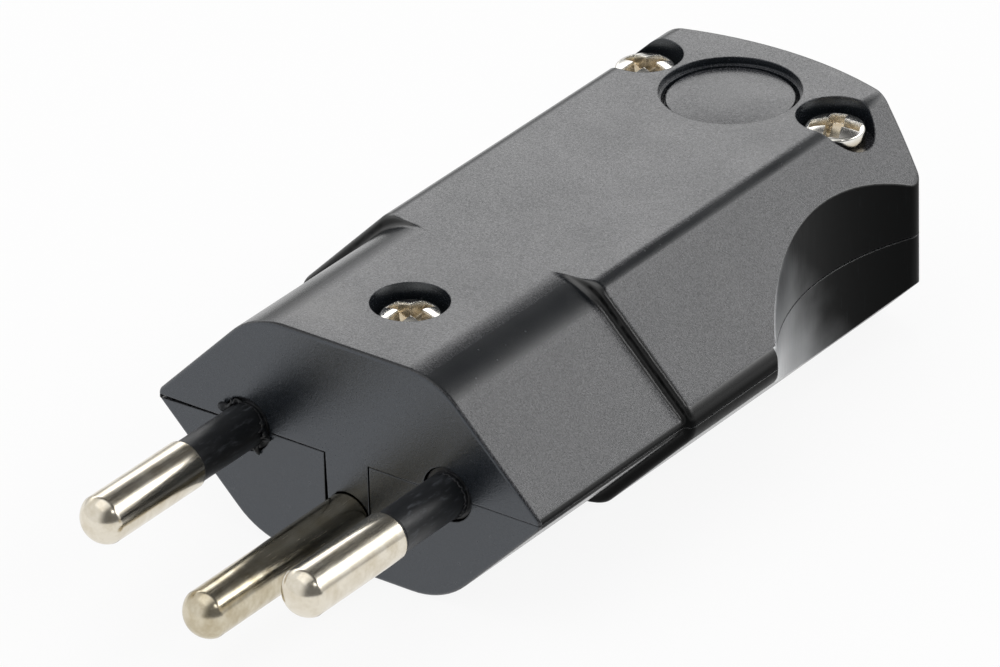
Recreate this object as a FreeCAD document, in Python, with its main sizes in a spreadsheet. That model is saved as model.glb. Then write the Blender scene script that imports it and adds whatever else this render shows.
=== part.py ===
"""Rewirable type J plug: two moulded half shells, three pins with screw terminals, and their fixings.

The pieces are drawn in the plug's own axes: X across, Y = 0 on the engagement face with the pins towards
-Y and the cable end towards +Y, Z = 0 on the parting plane of the shells. The finished plug lies on its
flat underside, with the origin below the middle of its bounding box. Sizes are in millimetres.
"""
import FreeCAD, Part
import math
import os
import Sketcher

SIZES = (
    ("body_length", 58.3, "engagement face to the middle of the cable end"),
    ("body_height", 19.4, "flat underside to flat top"),
    ("front_width", 36.8, "across the sharp side corners of the front"),
    ("front_length", 17.9, "face to the foot of the shoulder"),
    ("front_edge_radius", 7.0, "rounding between the front slopes and the flats"),
    ("front_side_radius", 0.8, "rounding of the front side corners"),
    ("shoulder_length", 1.2, "length of the shoulder's double curve"),
    ("rear_width", 39.5, "across the sharp side corners of the grip"),
    ("rear_edge_radius", 2.0, "rounding between the grip's slopes and the flats"),
    ("rear_side_radius", 2.4, "rounding of the grip's side corners"),
    ("waist_width", 26.6, "between the two finger scallops at their deepest"),
    ("scallop_radius", 21.2, "plan radius of a finger scallop"),
    ("scallop_place", 44.0, "face to the middle of the scallops"),
    ("end_radius", 31.0, "plan radius of the cable end"),
    ("end_corner_radius", 1.4, "rounding between the cable end and a scallop"),
    ("rim_radius", 0.3, "rounding of the rims of the face and the cable end"),
    ("wall", 2.0, "thickness of the shells"),
    ("front_wall", 2.2, "thickness of the engagement face"),
    ("fit_clearance", 0.1, "play between a piece and its seat"),
    ("pin_diameter", 4.0, "contact pin"),
    ("pin_length", 19.0, "engagement face to the tip of a pin"),
    ("pin_pitch", 19.0, "between the two outer pins"),
    ("earth_drop", 5.0, "earth pin below the line of the outer pins"),
    ("tip_radius", 2.1, "dome on the end of a pin"),
    ("neck_diameter", 2.6, "outer pin under its sleeve"),
    ("earth_neck_diameter", 3.6, "earth pin where it passes through the shells"),
    ("sleeve_diameter", 3.6, "insulating sleeve"),
    ("sleeve_length", 7.6, "face to the end of the sleeve"),
    ("collar_diameter", 4.3, "inner collar of the sleeve"),
    ("collar_depth", 0.25, "face to the collar, inside its hole"),
    ("terminal_diameter", 6.4, "thick inner end of an outer pin"),
    ("terminal_length", 10.0, "thick inner end of an outer pin"),
    ("wire_bore", 3.0, "hole for a bared wire"),
    ("wire_bore_depth", 7.0, "hole for a bared wire"),
    ("wire_passage", 4.6, "way for an insulated core behind a terminal"),
    ("terminal_screw_diameter", 3.0, "headless clamping screw"),
    ("terminal_screw_setback", 3.5, "rear of a terminal to its screw"),
    ("terminal_screw_sunk", 0.5, "top of a terminal to the end of its screw"),
    ("flange_diameter", 6.2, "collar that holds the earth pin"),
    ("flange_length", 1.5, "collar that holds the earth pin"),
    ("plate_width", 6.0, "flat inner part of the earth pin"),
    ("plate_thickness", 1.2, "flat inner part of the earth pin"),
    ("earth_terminal_place", 17.0, "face to the front of the earth terminal"),
    ("earth_terminal_length", 6.0, "earth terminal along the plug"),
    ("slot_width", 4.3, "slot above the earth pin in the lower shell"),
    ("tongue_width", 4.0, "tongue of the upper shell in that slot"),
    ("chamber_place", 14.0, "face to the front of the wiring chamber"),
    ("chamber_length", 27.0, "wiring chamber along the plug"),
    ("chamber_radius", 2.0, "upright corners of the wiring chamber"),
    ("screw_diameter", 3.0, "housing and clamp screws"),
    ("head_diameter", 4.8, "raised head of a screw"),
    ("head_height", 1.9, "raised head of a screw"),
    ("head_edge_height", 1.3, "upright edge of a screw's head"),
    ("head_sink", 0.6, "flat top to the crown of a screw's head"),
    ("recess_diameter", 6.2, "counterbore around a screw's head"),
    ("front_screw_place", 8.4, "face to the front housing screw"),
    ("rear_screw_place", 51.3, "face to the rear housing screws"),
    ("rear_screw_pitch", 18.3, "between the rear housing screws"),
    ("boss_diameter", 6.2, "boss around the front housing screw"),
    ("insert_diameter", 4.4, "threaded insert"),
    ("insert_length", 2.6, "threaded insert"),
    ("tip_room", 2.0, "rear housing screw past its insert"),
    ("inlet_diameter", 8.5, "round cable inlet"),
    ("inlet_flare", 0.8, "chamfer of the inlet's mouth"),
    ("clamp_place", 34.0, "face to the middle of the cable clamp"),
    ("clamp_screw_pitch", 15.0, "between the clamp's screws"),
    ("clamp_width", 6.0, "cable clamp along the plug"),
    ("clamp_thickness", 1.5, "strip of the cable clamp"),
    ("clamp_radius", 3.9, "inside of the clamp's arch"),
    ("clamp_drop", 0.8, "clamp's seats to the middle of its arch"),
    ("clamp_foot", 3.2, "clamp's screw to the end of the strip"),
    ("clamp_seat_depth", 2.0, "parting plane to the clamp's seats"),
    ("clamp_boss_diameter", 5.4, "boss under the clamp"),
    ("clamp_screw_length", 5.0, "clamp screw below its head"),
    ("cap_place", 50.1, "face to the blanking cap"),
    ("cap_diameter", 10.2, "disc of the blanking cap"),
    ("cap_thickness", 1.2, "disc of the blanking cap at its edge"),
    ("cap_crown", 0.35, "rise of the disc at its middle"),
    ("cap_sink", 0.65, "flat top to the edge of the disc"),
    ("cap_stem_diameter", 7.0, "stem of the blanking cap"),
    ("cap_stem_length", 1.6, "stem of the blanking cap"),
    ("cap_gap", 0.6, "groove around the disc"),
    ("cap_ledge", 0.22, "ledge halfway down that groove"),
)
SHOULDER_STEPS = 6
CUT_MARGIN = "1"
TOUCHING = 1e-3

# Expressions that several pieces share.
HALF_HEIGHT = "(Sizes.body_height / 2)"
FRONT_HALF = "(Sizes.front_width / 2)"
GRIP_HALF = "(Sizes.rear_width / 2)"
GRIP_START = "(Sizes.front_length + Sizes.shoulder_length)"
TERMINAL_END = "(Sizes.front_wall + Sizes.terminal_length)"
CHAMBER_END = "(Sizes.chamber_place + Sizes.chamber_length)"
CHAMBER_HALF = "(Sizes.waist_width / 2 - Sizes.wall)"
CHAMBER_DEPTH = f"({FRONT_HALF} - {CHAMBER_HALF} - Sizes.wall * sqrt(2))"
WELL_DEPTH = f"({HALF_HEIGHT} - Sizes.wall)"
WELL_HALF = f"({FRONT_HALF} - {WELL_DEPTH} - Sizes.wall * sqrt(2))"
EARTH_TERMINAL_HALF = f"({WELL_DEPTH} - Sizes.earth_drop - Sizes.fit_clearance)"
PLATE_SEAT = "(Sizes.earth_drop + Sizes.plate_thickness / 2 + Sizes.fit_clearance)"
BOSS_END = "(Sizes.earth_drop - Sizes.plate_thickness / 2 - Sizes.fit_clearance)"
HEAD_SEAT = f"({HALF_HEIGHT} - Sizes.head_sink - Sizes.head_height)"
CAP_TOP = f"({HALF_HEIGHT} - Sizes.cap_sink)"
CAP_SEAT = f"({CAP_TOP} - Sizes.cap_thickness)"
# The corner between a finger scallop and the cable end is an arc that touches both of their circles.
# Its middle lies where circles about their middles cross, and the touching points lie on the same lines.
SCALLOP_X = "(Sizes.waist_width / 2 + Sizes.scallop_radius)"
END_Y = "(Sizes.body_length - Sizes.end_radius)"
END_REACH = "(Sizes.end_radius - Sizes.end_corner_radius)"
SCALLOP_REACH = "(Sizes.scallop_radius + Sizes.end_corner_radius)"
SCALLOP_RISE = f"(Sizes.scallop_place - {END_Y})"
APART = f"sqrt({SCALLOP_X} ^ 2 + {SCALLOP_RISE} ^ 2)"
CORNER_ALONG = f"(({END_REACH} ^ 2 - {SCALLOP_REACH} ^ 2 + {APART} ^ 2) / (2 * {APART}))"
CORNER_OFF = f"sqrt({END_REACH} ^ 2 - {CORNER_ALONG} ^ 2)"
CORNER_X = f"(({CORNER_ALONG} * {SCALLOP_X} - {CORNER_OFF} * {SCALLOP_RISE}) / {APART})"
CORNER_Y = f"({END_Y} + ({CORNER_ALONG} * {SCALLOP_RISE} + {CORNER_OFF} * {SCALLOP_X}) / {APART})"
END_TOUCH = (
    f"({CORNER_X} * Sizes.end_radius / {END_REACH})",
    f"({END_Y} + ({CORNER_Y} - {END_Y}) * Sizes.end_radius / {END_REACH})",
)
SCALLOP_TOUCH = (
    f"({SCALLOP_X} + ({CORNER_X} - {SCALLOP_X}) * Sizes.scallop_radius / {SCALLOP_REACH})",
    f"(Sizes.scallop_place + ({CORNER_Y} - Sizes.scallop_place) * Sizes.scallop_radius / {SCALLOP_REACH})",
)
TIP_LENGTH = "(Sizes.tip_radius - sqrt(Sizes.tip_radius ^ 2 - Sizes.pin_diameter ^ 2 / 4))"

OUTER_TERMINAL_SCREW = f"({TERMINAL_END} - Sizes.terminal_screw_setback)"
EARTH_TERMINAL_SCREW = "(Sizes.earth_terminal_place + Sizes.earth_terminal_length / 2)"

# Places of the pieces that repeat.
OUTER_PINS = {"left": "-Sizes.pin_pitch / 2", "right": "Sizes.pin_pitch / 2"}
HOUSING_SCREWS = {
    "front": ("0", "Sizes.front_screw_place"),
    "left": ("-Sizes.rear_screw_pitch / 2", "Sizes.rear_screw_place"),
    "right": ("Sizes.rear_screw_pitch / 2", "Sizes.rear_screw_place"),
}
CLAMP_SCREWS = {"left": "-Sizes.clamp_screw_pitch / 2", "right": "Sizes.clamp_screw_pitch / 2"}

doc = FreeCAD.newDocument("type_j_plug")
sheet = doc.addObject("Spreadsheet::Sheet", "Sizes")
for row, (alias, size, meaning) in enumerate(SIZES, start=1):
    sheet.set(f"A{row}", meaning)
    sheet.set(f"B{row}", str(size))
    sheet.setAlias(f"B{row}", alias)
doc.recompute()

nodes = []


def number(expression):
    """The value that an expression over the sheet has now."""
    return float(sheet.evalExpression(expression))


def new_body(label):
    """A sub-part with its own label."""
    body = doc.addObject("PartDesign::Body", label)
    body.Label = label
    nodes.append(body)
    return body


def settle(body, x="0", y="0", z="0", turned=False):
    """Places a finished body from the plug's own axes into the frame of the lying plug."""
    if turned:
        body.Placement = FreeCAD.Placement(FreeCAD.Vector(), FreeCAD.Rotation(FreeCAD.Vector(0, 1, 0), 180))
    body.setExpression("Placement.Base.x", x)
    body.setExpression("Placement.Base.y", f"(Sizes.pin_length - Sizes.body_length) / 2 + {y}")
    body.setExpression("Placement.Base.z", f"{HALF_HEIGHT} + {z}")


def new_sketch(body, name, plane, x="0", y="0", lift="0"):
    """A sketch on one of the body's own planes, moved within it and lifted along its normal."""
    sketch = body.newObject("Sketcher::SketchObject", name)
    support = [feature for feature in body.Origin.OriginFeatures if feature.Role == plane]
    sketch.AttachmentSupport = [(support[0], "")]
    sketch.MapMode = "FlatFace"
    for axis, expression in (("x", x), ("y", y), ("z", lift)):
        sketch.setExpression(f"AttachmentOffset.Base.{axis}", expression)
    return sketch


def bind(sketch, constraint, expression):
    """Adds a constraint whose size follows an expression."""
    index = sketch.addConstraint(constraint)
    sketch.setExpression(f"Constraints[{index}]", expression)


def pin_point(sketch, geometry, point, x, y):
    """Ties one point of a sketch to two expressions, measured from the sketch's origin."""
    for kind, axis, expression in (("DistanceX", -2, x), ("DistanceY", -1, y)):
        value = number(expression)
        if abs(value) < 1e-9:
            sketch.addConstraint(Sketcher.Constraint("PointOnObject", geometry, point, axis))
        elif value > 0:
            bind(sketch, Sketcher.Constraint(kind, -1, 1, geometry, point, value), expression)
        else:
            bind(sketch, Sketcher.Constraint(kind, geometry, point, -1, 1, -value), f"-({expression})")


def circle(sketch, diameter, x="0", y="0"):
    """A circle with its centre at x, y."""
    centre = FreeCAD.Vector(number(x), number(y), 0)
    radius = number(diameter) / 2
    index = sketch.addGeometry(Part.Circle(centre, FreeCAD.Vector(0, 0, 1), radius))
    pin_point(sketch, index, 3, x, y)
    bind(sketch, Sketcher.Constraint("Diameter", index, 2 * radius), diameter)


def outline(sketch, corners, bends=None):
    """A closed line through the corners; bends gives, by corner, the radius of an arc to the next one.

    A positive radius turns left on the way and a negative one turns right.
    """
    bends = bends or {}
    points = [FreeCAD.Vector(number(x), number(y), 0) for x, y in corners]
    ends = []
    for index, start in enumerate(points):
        stop = points[(index + 1) % len(points)]
        if index not in bends:
            line = sketch.addGeometry(Part.LineSegment(start, stop))
            ends.append((line, 1, 2))
            continue
        left = not bends[index].startswith("-")
        radius = abs(number(bends[index]))
        chord = stop - start
        side = FreeCAD.Vector(-chord.y, chord.x, 0).normalize() * (1 if left else -1)
        centre = (start + stop) * 0.5 + side * math.sqrt(max(radius ** 2 - chord.Length ** 2 / 4, 0))
        first, last = (start, stop) if left else (stop, start)
        angles = [math.atan2(point.y - centre.y, point.x - centre.x) for point in (first, last)]
        ring = Part.Circle(centre, FreeCAD.Vector(0, 0, 1), radius)
        arc = sketch.addGeometry(Part.ArcOfCircle(ring, angles[0], angles[1]))
        ends.append((arc, 1, 2) if left else (arc, 2, 1))
    for index, (x, y) in enumerate(corners):
        before = ends[index - 1]
        after = ends[index]
        sketch.addConstraint(Sketcher.Constraint("Coincident", before[0], before[2], after[0], after[1]))
        pin_point(sketch, after[0], after[1], x, y)
    for index, bend in bends.items():
        radius = abs(number(bend))
        bind(sketch, Sketcher.Constraint("Radius", ends[index][0], radius), bend.lstrip("-"))


def rectangle(sketch, half_width, front, rear, radius=None):
    """A rectangle about the plug's axis, from front to rear, with rounded corners if a radius is given."""
    if radius is None:
        outline(sketch, [(half_width, front), (half_width, rear), (f"-{half_width}", rear),
                         (f"-{half_width}", front)])
        return
    inner = f"({half_width} - {radius})"
    outline(
        sketch,
        [(inner, front), (half_width, f"{front} + {radius}"), (half_width, f"{rear} - {radius}"),
         (inner, rear), (f"-{inner}", rear), (f"-{half_width}", f"{rear} - {radius}"),
         (f"-{half_width}", f"{front} + {radius}"), (f"-{inner}", front)],
        {0: radius, 2: radius, 4: radius, 6: radius},
    )


def extrude(kind, sketch, name, length=None, reverse=False, symmetric=False):
    """A Pad or Pocket of a sketch; a Pocket without a length goes through everything."""
    body = sketch.getParentGeoFeatureGroup()
    feature = body.newObject(f"PartDesign::{kind}", name)
    feature.Profile = sketch
    feature.Reversed = reverse
    if symmetric:
        feature.SideType = "Symmetric"
    if length is None:
        feature.Type = "ThroughAll"
    else:
        feature.setExpression("Length", length)
    return feature


def turn(kind, sketch, name):
    """A Revolution or Groove of a sketch about its own upright axis."""
    body = sketch.getParentGeoFeatureGroup()
    feature = body.newObject(f"PartDesign::{kind}", name)
    feature.Profile = sketch
    feature.ReferenceAxis = (sketch, ["V_Axis"])
    feature.Angle = 360
    return feature


def soften_edges(kind, measure, base, name, size, wanted):
    """A Fillet or Chamfer on those edges of a feature that the test wants."""
    doc.recompute()
    names = [f"Edge{index}" for index, edge in enumerate(base.Shape.Edges, start=1) if wanted(edge)]
    body = base.getParentGeoFeatureGroup()
    feature = body.newObject(f"PartDesign::{kind}", name)
    feature.Base = (base, names)
    feature.setExpression(measure, size)
    return feature


def hexagon_half(body, name, place, half_width, side_radius, edge_radius):
    """One half of the six-sided housing section, on the parting plane at a place along the plug."""
    sketch = new_sketch(body, name, "XZ_Plane", lift=f"-({place})")
    run = f"({edge_radius} * tan(22.5 deg))"
    flank = [
        (f"({half_width} - {side_radius} * (sqrt(2) - 1))", "0"),
        (f"({half_width} - {side_radius} / sqrt(2))", f"{side_radius} / sqrt(2)"),
        (f"({half_width} - {HALF_HEIGHT} + {run} / sqrt(2))", f"{HALF_HEIGHT} - {run} / sqrt(2)"),
        (f"({half_width} - {HALF_HEIGHT} - {run})", HALF_HEIGHT),
    ]
    mirrored = [(f"-{x}", z) for x, z in reversed(flank)]
    outline(sketch, flank + mirrored, {0: side_radius, 2: edge_radius, 4: edge_radius, 6: side_radius})
    return sketch


def add_block(body):
    """The outer form that both shells share: front, shoulder, grip, finger scallops, cable end."""
    face = hexagon_half(body, "face_section", "0", FRONT_HALF, "Sizes.front_side_radius",
                        "Sizes.front_edge_radius")
    extrude("Pad", face, "front", "Sizes.front_length", reverse=True)
    sections = []
    for step in range(SHOULDER_STEPS + 1):
        angle = math.pi * step / SHOULDER_STEPS
        share = (1 - math.cos(angle)) / 2
        along = math.sin(angle) / 2 if step <= SHOULDER_STEPS / 2 else 1 - math.sin(angle) / 2
        blend = "({0} + ({1} - {0}) * " + f"{share:.6f})"
        sections.append(hexagon_half(
            body,
            f"shoulder_section_{step}",
            f"Sizes.front_length + Sizes.shoulder_length * {along:.6f}",
            blend.format(FRONT_HALF, GRIP_HALF),
            blend.format("Sizes.front_side_radius", "Sizes.rear_side_radius"),
            blend.format("Sizes.front_edge_radius", "Sizes.rear_edge_radius"),
        ))
    shoulder = body.newObject("PartDesign::AdditiveLoft", "shoulder")
    shoulder.Profile = sections[0]
    shoulder.Sections = sections[1:]
    grip_section = hexagon_half(body, "grip_section", GRIP_START, GRIP_HALF, "Sizes.rear_side_radius",
                                "Sizes.rear_edge_radius")
    extrude("Pad", grip_section, "grip", f"Sizes.body_length - {GRIP_START}", reverse=True)

    scallops = new_sketch(body, "scallop_plan", "XY_Plane")
    for side in (SCALLOP_X, f"-{SCALLOP_X}"):
        circle(scallops, "Sizes.scallop_radius * 2", side, "Sizes.scallop_place")
    extrude("Pocket", scallops, "scallops", reverse=True)

    end_plan = new_sketch(body, "end_plan", "XY_Plane")
    beyond = f"({GRIP_HALF} + {CUT_MARGIN})"
    past_end = f"Sizes.body_length + {CUT_MARGIN}"
    side_x, side_y = SCALLOP_TOUCH
    end_x, end_y = END_TOUCH
    outline(
        end_plan,
        [(beyond, side_y), (beyond, past_end), (f"-{beyond}", past_end), (f"-{beyond}", side_y),
         (f"-{side_x}", side_y), (f"-{end_x}", end_y), (end_x, end_y), (side_x, side_y)],
        {4: "-Sizes.end_corner_radius", 5: "-Sizes.end_radius", 6: "-Sizes.end_corner_radius"},
    )
    cable_end = extrude("Pocket", end_plan, "cable_end", reverse=True)

    def is_rim(edge):
        box = edge.BoundBox
        on_face = box.YMax < TOUCHING
        on_end = box.YMin > number(side_y) - TOUCHING
        on_parting = box.ZMax < TOUCHING
        upright = box.XLength + box.YLength < TOUCHING
        return (on_face or on_end) and not on_parting and not upright

    soften_edges("Fillet", "Radius", cable_end, "rims", "Sizes.rim_radius", is_rim)


def add_wiring_space(body):
    """The hollow that both shells share: wiring chamber, cradles of the outer pins, cable inlet."""
    chamber = new_sketch(body, "chamber_plan", "XY_Plane")
    rectangle(chamber, CHAMBER_HALF, "Sizes.chamber_place", CHAMBER_END, "Sizes.chamber_radius")
    extrude("Pocket", chamber, "chamber", CHAMBER_DEPTH, reverse=True)
    well = new_sketch(body, "well_plan", "XY_Plane")
    rectangle(well, WELL_HALF, "Sizes.chamber_place", CHAMBER_END, "Sizes.chamber_radius")
    extrude("Pocket", well, "well", WELL_DEPTH, reverse=True)

    hole = "(Sizes.collar_diameter / 2 + Sizes.fit_clearance)"
    cradle = "(Sizes.terminal_diameter / 2 + Sizes.fit_clearance)"
    passage = "Sizes.wire_passage / 2"
    cradle_end = f"{TERMINAL_END} + Sizes.fit_clearance"
    passage_end = f"Sizes.chamber_place + {CUT_MARGIN}"
    for side, x in OUTER_PINS.items():
        section = new_sketch(body, f"{side}_cradle_section", "XY_Plane", x=x)
        outline(section, [
            ("0", f"-{CUT_MARGIN}"), (hole, f"-{CUT_MARGIN}"), (hole, "Sizes.front_wall"),
            (cradle, "Sizes.front_wall"), (cradle, cradle_end), (passage, cradle_end),
            (passage, passage_end), ("0", passage_end),
        ])
        turn("Groove", section, f"{side}_cradle")

    inlet_section = new_sketch(body, "inlet_section", "XZ_Plane", lift=f"{CUT_MARGIN} - {CHAMBER_END}")
    circle(inlet_section, "Sizes.inlet_diameter")
    inlet = extrude("Pocket", inlet_section, "inlet")

    def is_inlet_mouth(edge):
        middle = edge.valueAt((edge.FirstParameter + edge.LastParameter) / 2)
        off_wall = math.hypot(middle.x, middle.z) - number("Sizes.inlet_diameter / 2")
        at_rear = edge.BoundBox.YMin > number(f"{CHAMBER_END} + {CUT_MARGIN}")
        return at_rear and abs(off_wall) < TOUCHING

    soften_edges("Chamfer", "Size", inlet, "inlet_mouth", "Sizes.inlet_flare", is_inlet_mouth)


def housing_screw_circles(sketch, diameter, names):
    """A circle of the given diameter around each named housing screw."""
    for name in names:
        x, y = HOUSING_SCREWS[name]
        circle(sketch, diameter, x, y)


def make_upper_shell():
    """Upper half: carries the earth tongue, the counterbores of the housing screws and the cap's seat."""
    body = new_body("upper_shell")
    add_block(body)
    add_wiring_space(body)

    tongue = new_sketch(body, "tongue_plan", "XY_Plane")
    rectangle(tongue, "(Sizes.tongue_width / 2)", "0", "Sizes.front_wall")
    extrude("Pad", tongue, "tongue", "Sizes.earth_drop", reverse=True)
    boss = new_sketch(body, "boss_plan", "XY_Plane")
    circle(boss, "Sizes.boss_diameter", "0", "Sizes.front_screw_place")
    extrude("Pad", boss, "boss", BOSS_END, reverse=True)
    saddle = new_sketch(body, "saddle_section", "XY_Plane", lift="-Sizes.earth_drop")
    radius = "Sizes.pin_diameter / 2 + Sizes.fit_clearance"
    saddle_end = f"Sizes.front_wall + {CUT_MARGIN}"
    outline(saddle, [("0", f"-{CUT_MARGIN}"), (radius, f"-{CUT_MARGIN}"), (radius, saddle_end),
                     ("0", saddle_end)])
    turn("Groove", saddle, "saddle")

    recesses = new_sketch(body, "recess_plan", "XY_Plane", lift=HALF_HEIGHT)
    housing_screw_circles(recesses, "Sizes.recess_diameter", HOUSING_SCREWS)
    extrude("Pocket", recesses, "recesses", "Sizes.head_sink + Sizes.head_height")
    holes = new_sketch(body, "screw_hole_plan", "XY_Plane", lift=HALF_HEIGHT)
    housing_screw_circles(holes, "Sizes.screw_diameter + 2 * Sizes.fit_clearance", HOUSING_SCREWS)
    extrude("Pocket", holes, "screw_holes")

    seat = new_sketch(body, "cap_seat_section", "XZ_Plane", lift="-Sizes.cap_place")
    groove = "(Sizes.cap_diameter / 2 + Sizes.cap_gap)"
    ledge = f"({groove} - Sizes.cap_ledge)"
    stem = "Sizes.cap_stem_diameter / 2 + Sizes.fit_clearance"
    above = f"{HALF_HEIGHT} + {CUT_MARGIN}"
    stem_end = f"{CAP_SEAT} - Sizes.cap_stem_length - Sizes.fit_clearance"
    outline(seat, [("0", above), (groove, above), (groove, CAP_TOP), (ledge, CAP_TOP), (ledge, CAP_SEAT),
                   (stem, CAP_SEAT), (stem, stem_end), ("0", stem_end)])
    turn("Groove", seat, "cap_seat")
    settle(body)


def make_lower_shell():
    """Lower half: drawn with its parting plane down like the upper one, then turned over."""
    body = new_body("lower_shell")
    add_block(body)
    add_wiring_space(body)

    slot = new_sketch(body, "slot_plan", "XY_Plane")
    rectangle(slot, "(Sizes.slot_width / 2)", f"-{CUT_MARGIN}", "Sizes.front_wall")
    extrude("Pocket", slot, "slot", "Sizes.earth_drop", reverse=True)
    plate_slot = new_sketch(body, "plate_slot_plan", "XY_Plane")
    rectangle(plate_slot, "(Sizes.boss_diameter / 2 + Sizes.fit_clearance)", "Sizes.front_wall",
              f"Sizes.chamber_place + {CUT_MARGIN}")
    extrude("Pocket", plate_slot, "plate_slot", PLATE_SEAT, reverse=True)
    cradle = new_sketch(body, "earth_cradle_section", "XY_Plane", lift="Sizes.earth_drop")
    bottom = "Sizes.slot_width / 2"
    flange = "Sizes.flange_diameter / 2 + Sizes.fit_clearance"
    flange_end = "Sizes.front_wall + Sizes.flange_length + Sizes.fit_clearance"
    outline(cradle, [("0", f"-{CUT_MARGIN}"), (bottom, f"-{CUT_MARGIN}"), (bottom, "Sizes.front_wall"),
                     (flange, "Sizes.front_wall"), (flange, flange_end), ("0", flange_end)])
    turn("Groove", cradle, "earth_cradle")

    rear_inserts = new_sketch(body, "rear_insert_plan", "XY_Plane")
    housing_screw_circles(rear_inserts, "Sizes.insert_diameter", ("left", "right"))
    extrude("Pocket", rear_inserts, "rear_insert_seats", "Sizes.insert_length", reverse=True)
    tips = new_sketch(body, "screw_tip_plan", "XY_Plane")
    housing_screw_circles(tips, "Sizes.screw_diameter + 2 * Sizes.fit_clearance", ("left", "right"))
    extrude("Pocket", tips, "screw_tips", "Sizes.insert_length + Sizes.tip_room", reverse=True)
    front_insert = new_sketch(body, "front_insert_plan", "XY_Plane", lift=PLATE_SEAT)
    housing_screw_circles(front_insert, "Sizes.insert_diameter", ("front",))
    extrude("Pocket", front_insert, "front_insert_seat", "Sizes.insert_length", reverse=True)

    bosses = new_sketch(body, "clamp_boss_plan", "XY_Plane", lift="Sizes.clamp_seat_depth")
    pilots = new_sketch(body, "clamp_pilot_plan", "XY_Plane", lift="Sizes.clamp_seat_depth")
    for x in CLAMP_SCREWS.values():
        circle(bosses, "Sizes.clamp_boss_diameter", x, "Sizes.clamp_place")
        circle(pilots, "Sizes.screw_diameter + Sizes.fit_clearance", x, "Sizes.clamp_place")
    boss_height = f"{HALF_HEIGHT} - Sizes.wall / 2 - Sizes.clamp_seat_depth"
    extrude("Pad", bosses, "clamp_bosses", boss_height)
    pilot_depth = "Sizes.clamp_screw_length - Sizes.clamp_thickness"
    extrude("Pocket", pilots, "clamp_pilots", pilot_depth, reverse=True)
    settle(body, turned=True)


def add_wire_clamp(body, end, depth, screw_place):
    """The hole for a bared wire in the rear of a terminal, and the cross hole of its clamping screw."""
    wire = new_sketch(body, "wire_bore_section", "XZ_Plane", lift=f"-({end})")
    circle(wire, "Sizes.wire_bore")
    extrude("Pocket", wire, "wire_bore", depth, reverse=True)
    screw = new_sketch(body, "clamping_hole_plan", "XY_Plane")
    circle(screw, "Sizes.terminal_screw_diameter + Sizes.fit_clearance", "0", screw_place)
    extrude("Pocket", screw, "clamping_hole", reverse=True)


def make_outer_pin(side, x):
    """Turned pin: domed tip, neck under the sleeve, thick inner end with a screw terminal."""
    body = new_body(f"{side}_pin")
    section = new_sketch(body, "pin_section", "XY_Plane")
    radius = "Sizes.pin_diameter / 2"
    neck = "Sizes.neck_diameter / 2"
    terminal = "Sizes.terminal_diameter / 2"
    outline(
        section,
        [("0", "-Sizes.pin_length"), (radius, f"{TIP_LENGTH} - Sizes.pin_length"),
         (radius, "-Sizes.sleeve_length"), (neck, "-Sizes.sleeve_length"), (neck, "Sizes.front_wall"),
         (terminal, "Sizes.front_wall"), (terminal, TERMINAL_END), ("0", TERMINAL_END)],
        {0: "Sizes.tip_radius"},
    )
    turn("Revolution", section, "pin")
    add_wire_clamp(body, TERMINAL_END, "Sizes.wire_bore_depth", OUTER_TERMINAL_SCREW)
    settle(body, x)


def make_sleeve(side, x):
    """Insulating sleeve moulded round the neck of an outer pin, with a collar inside the shells."""
    body = new_body(f"{side}_pin_sleeve")
    section = new_sketch(body, "sleeve_section", "XY_Plane")
    neck = "Sizes.neck_diameter / 2"
    sleeve = "Sizes.sleeve_diameter / 2"
    collar = "Sizes.collar_diameter / 2"
    outline(section, [
        (neck, "-Sizes.sleeve_length"), (sleeve, "-Sizes.sleeve_length"), (sleeve, "Sizes.collar_depth"),
        (collar, "Sizes.collar_depth"), (collar, "Sizes.front_wall"), (neck, "Sizes.front_wall"),
    ])
    turn("Revolution", section, "sleeve")
    settle(body, x)


def make_earth_pin():
    """Bare pin with a flange, flattened inside the plug so that the front screw passes through it."""
    body = new_body("earth_pin")
    section = new_sketch(body, "pin_section", "XY_Plane")
    radius = "Sizes.pin_diameter / 2"
    neck = "Sizes.earth_neck_diameter / 2"
    flange = "Sizes.flange_diameter / 2"
    flange_end = "Sizes.front_wall + Sizes.flange_length"
    outline(
        section,
        [("0", "-Sizes.pin_length"), (radius, f"{TIP_LENGTH} - Sizes.pin_length"),
         (radius, "-Sizes.fit_clearance"), (neck, "-Sizes.fit_clearance"), (neck, "Sizes.front_wall"),
         (flange, "Sizes.front_wall"), (flange, flange_end), ("0", flange_end)],
        {0: "Sizes.tip_radius"},
    )
    turn("Revolution", section, "pin")
    half = "(Sizes.plate_width / 2)"
    terminal_end = "Sizes.earth_terminal_place + Sizes.earth_terminal_length"
    plate = new_sketch(body, "plate_plan", "XY_Plane")
    rectangle(plate, half, "Sizes.front_wall + Sizes.flange_length / 2", terminal_end)
    extrude("Pad", plate, "plate", "Sizes.plate_thickness", symmetric=True)
    terminal = new_sketch(body, "terminal_plan", "XY_Plane")
    rectangle(terminal, half, "Sizes.earth_terminal_place", terminal_end)
    extrude("Pad", terminal, "terminal", f"2 * {EARTH_TERMINAL_HALF}", symmetric=True)
    hole = new_sketch(body, "screw_hole_plan", "XY_Plane")
    circle(hole, "Sizes.screw_diameter + 2 * Sizes.fit_clearance", "0", "Sizes.front_screw_place")
    extrude("Pocket", hole, "screw_hole", "2 * Sizes.plate_thickness", symmetric=True)
    add_wire_clamp(body, terminal_end, "Sizes.earth_terminal_length", EARTH_TERMINAL_SCREW)
    settle(body, z="-Sizes.earth_drop")


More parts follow.
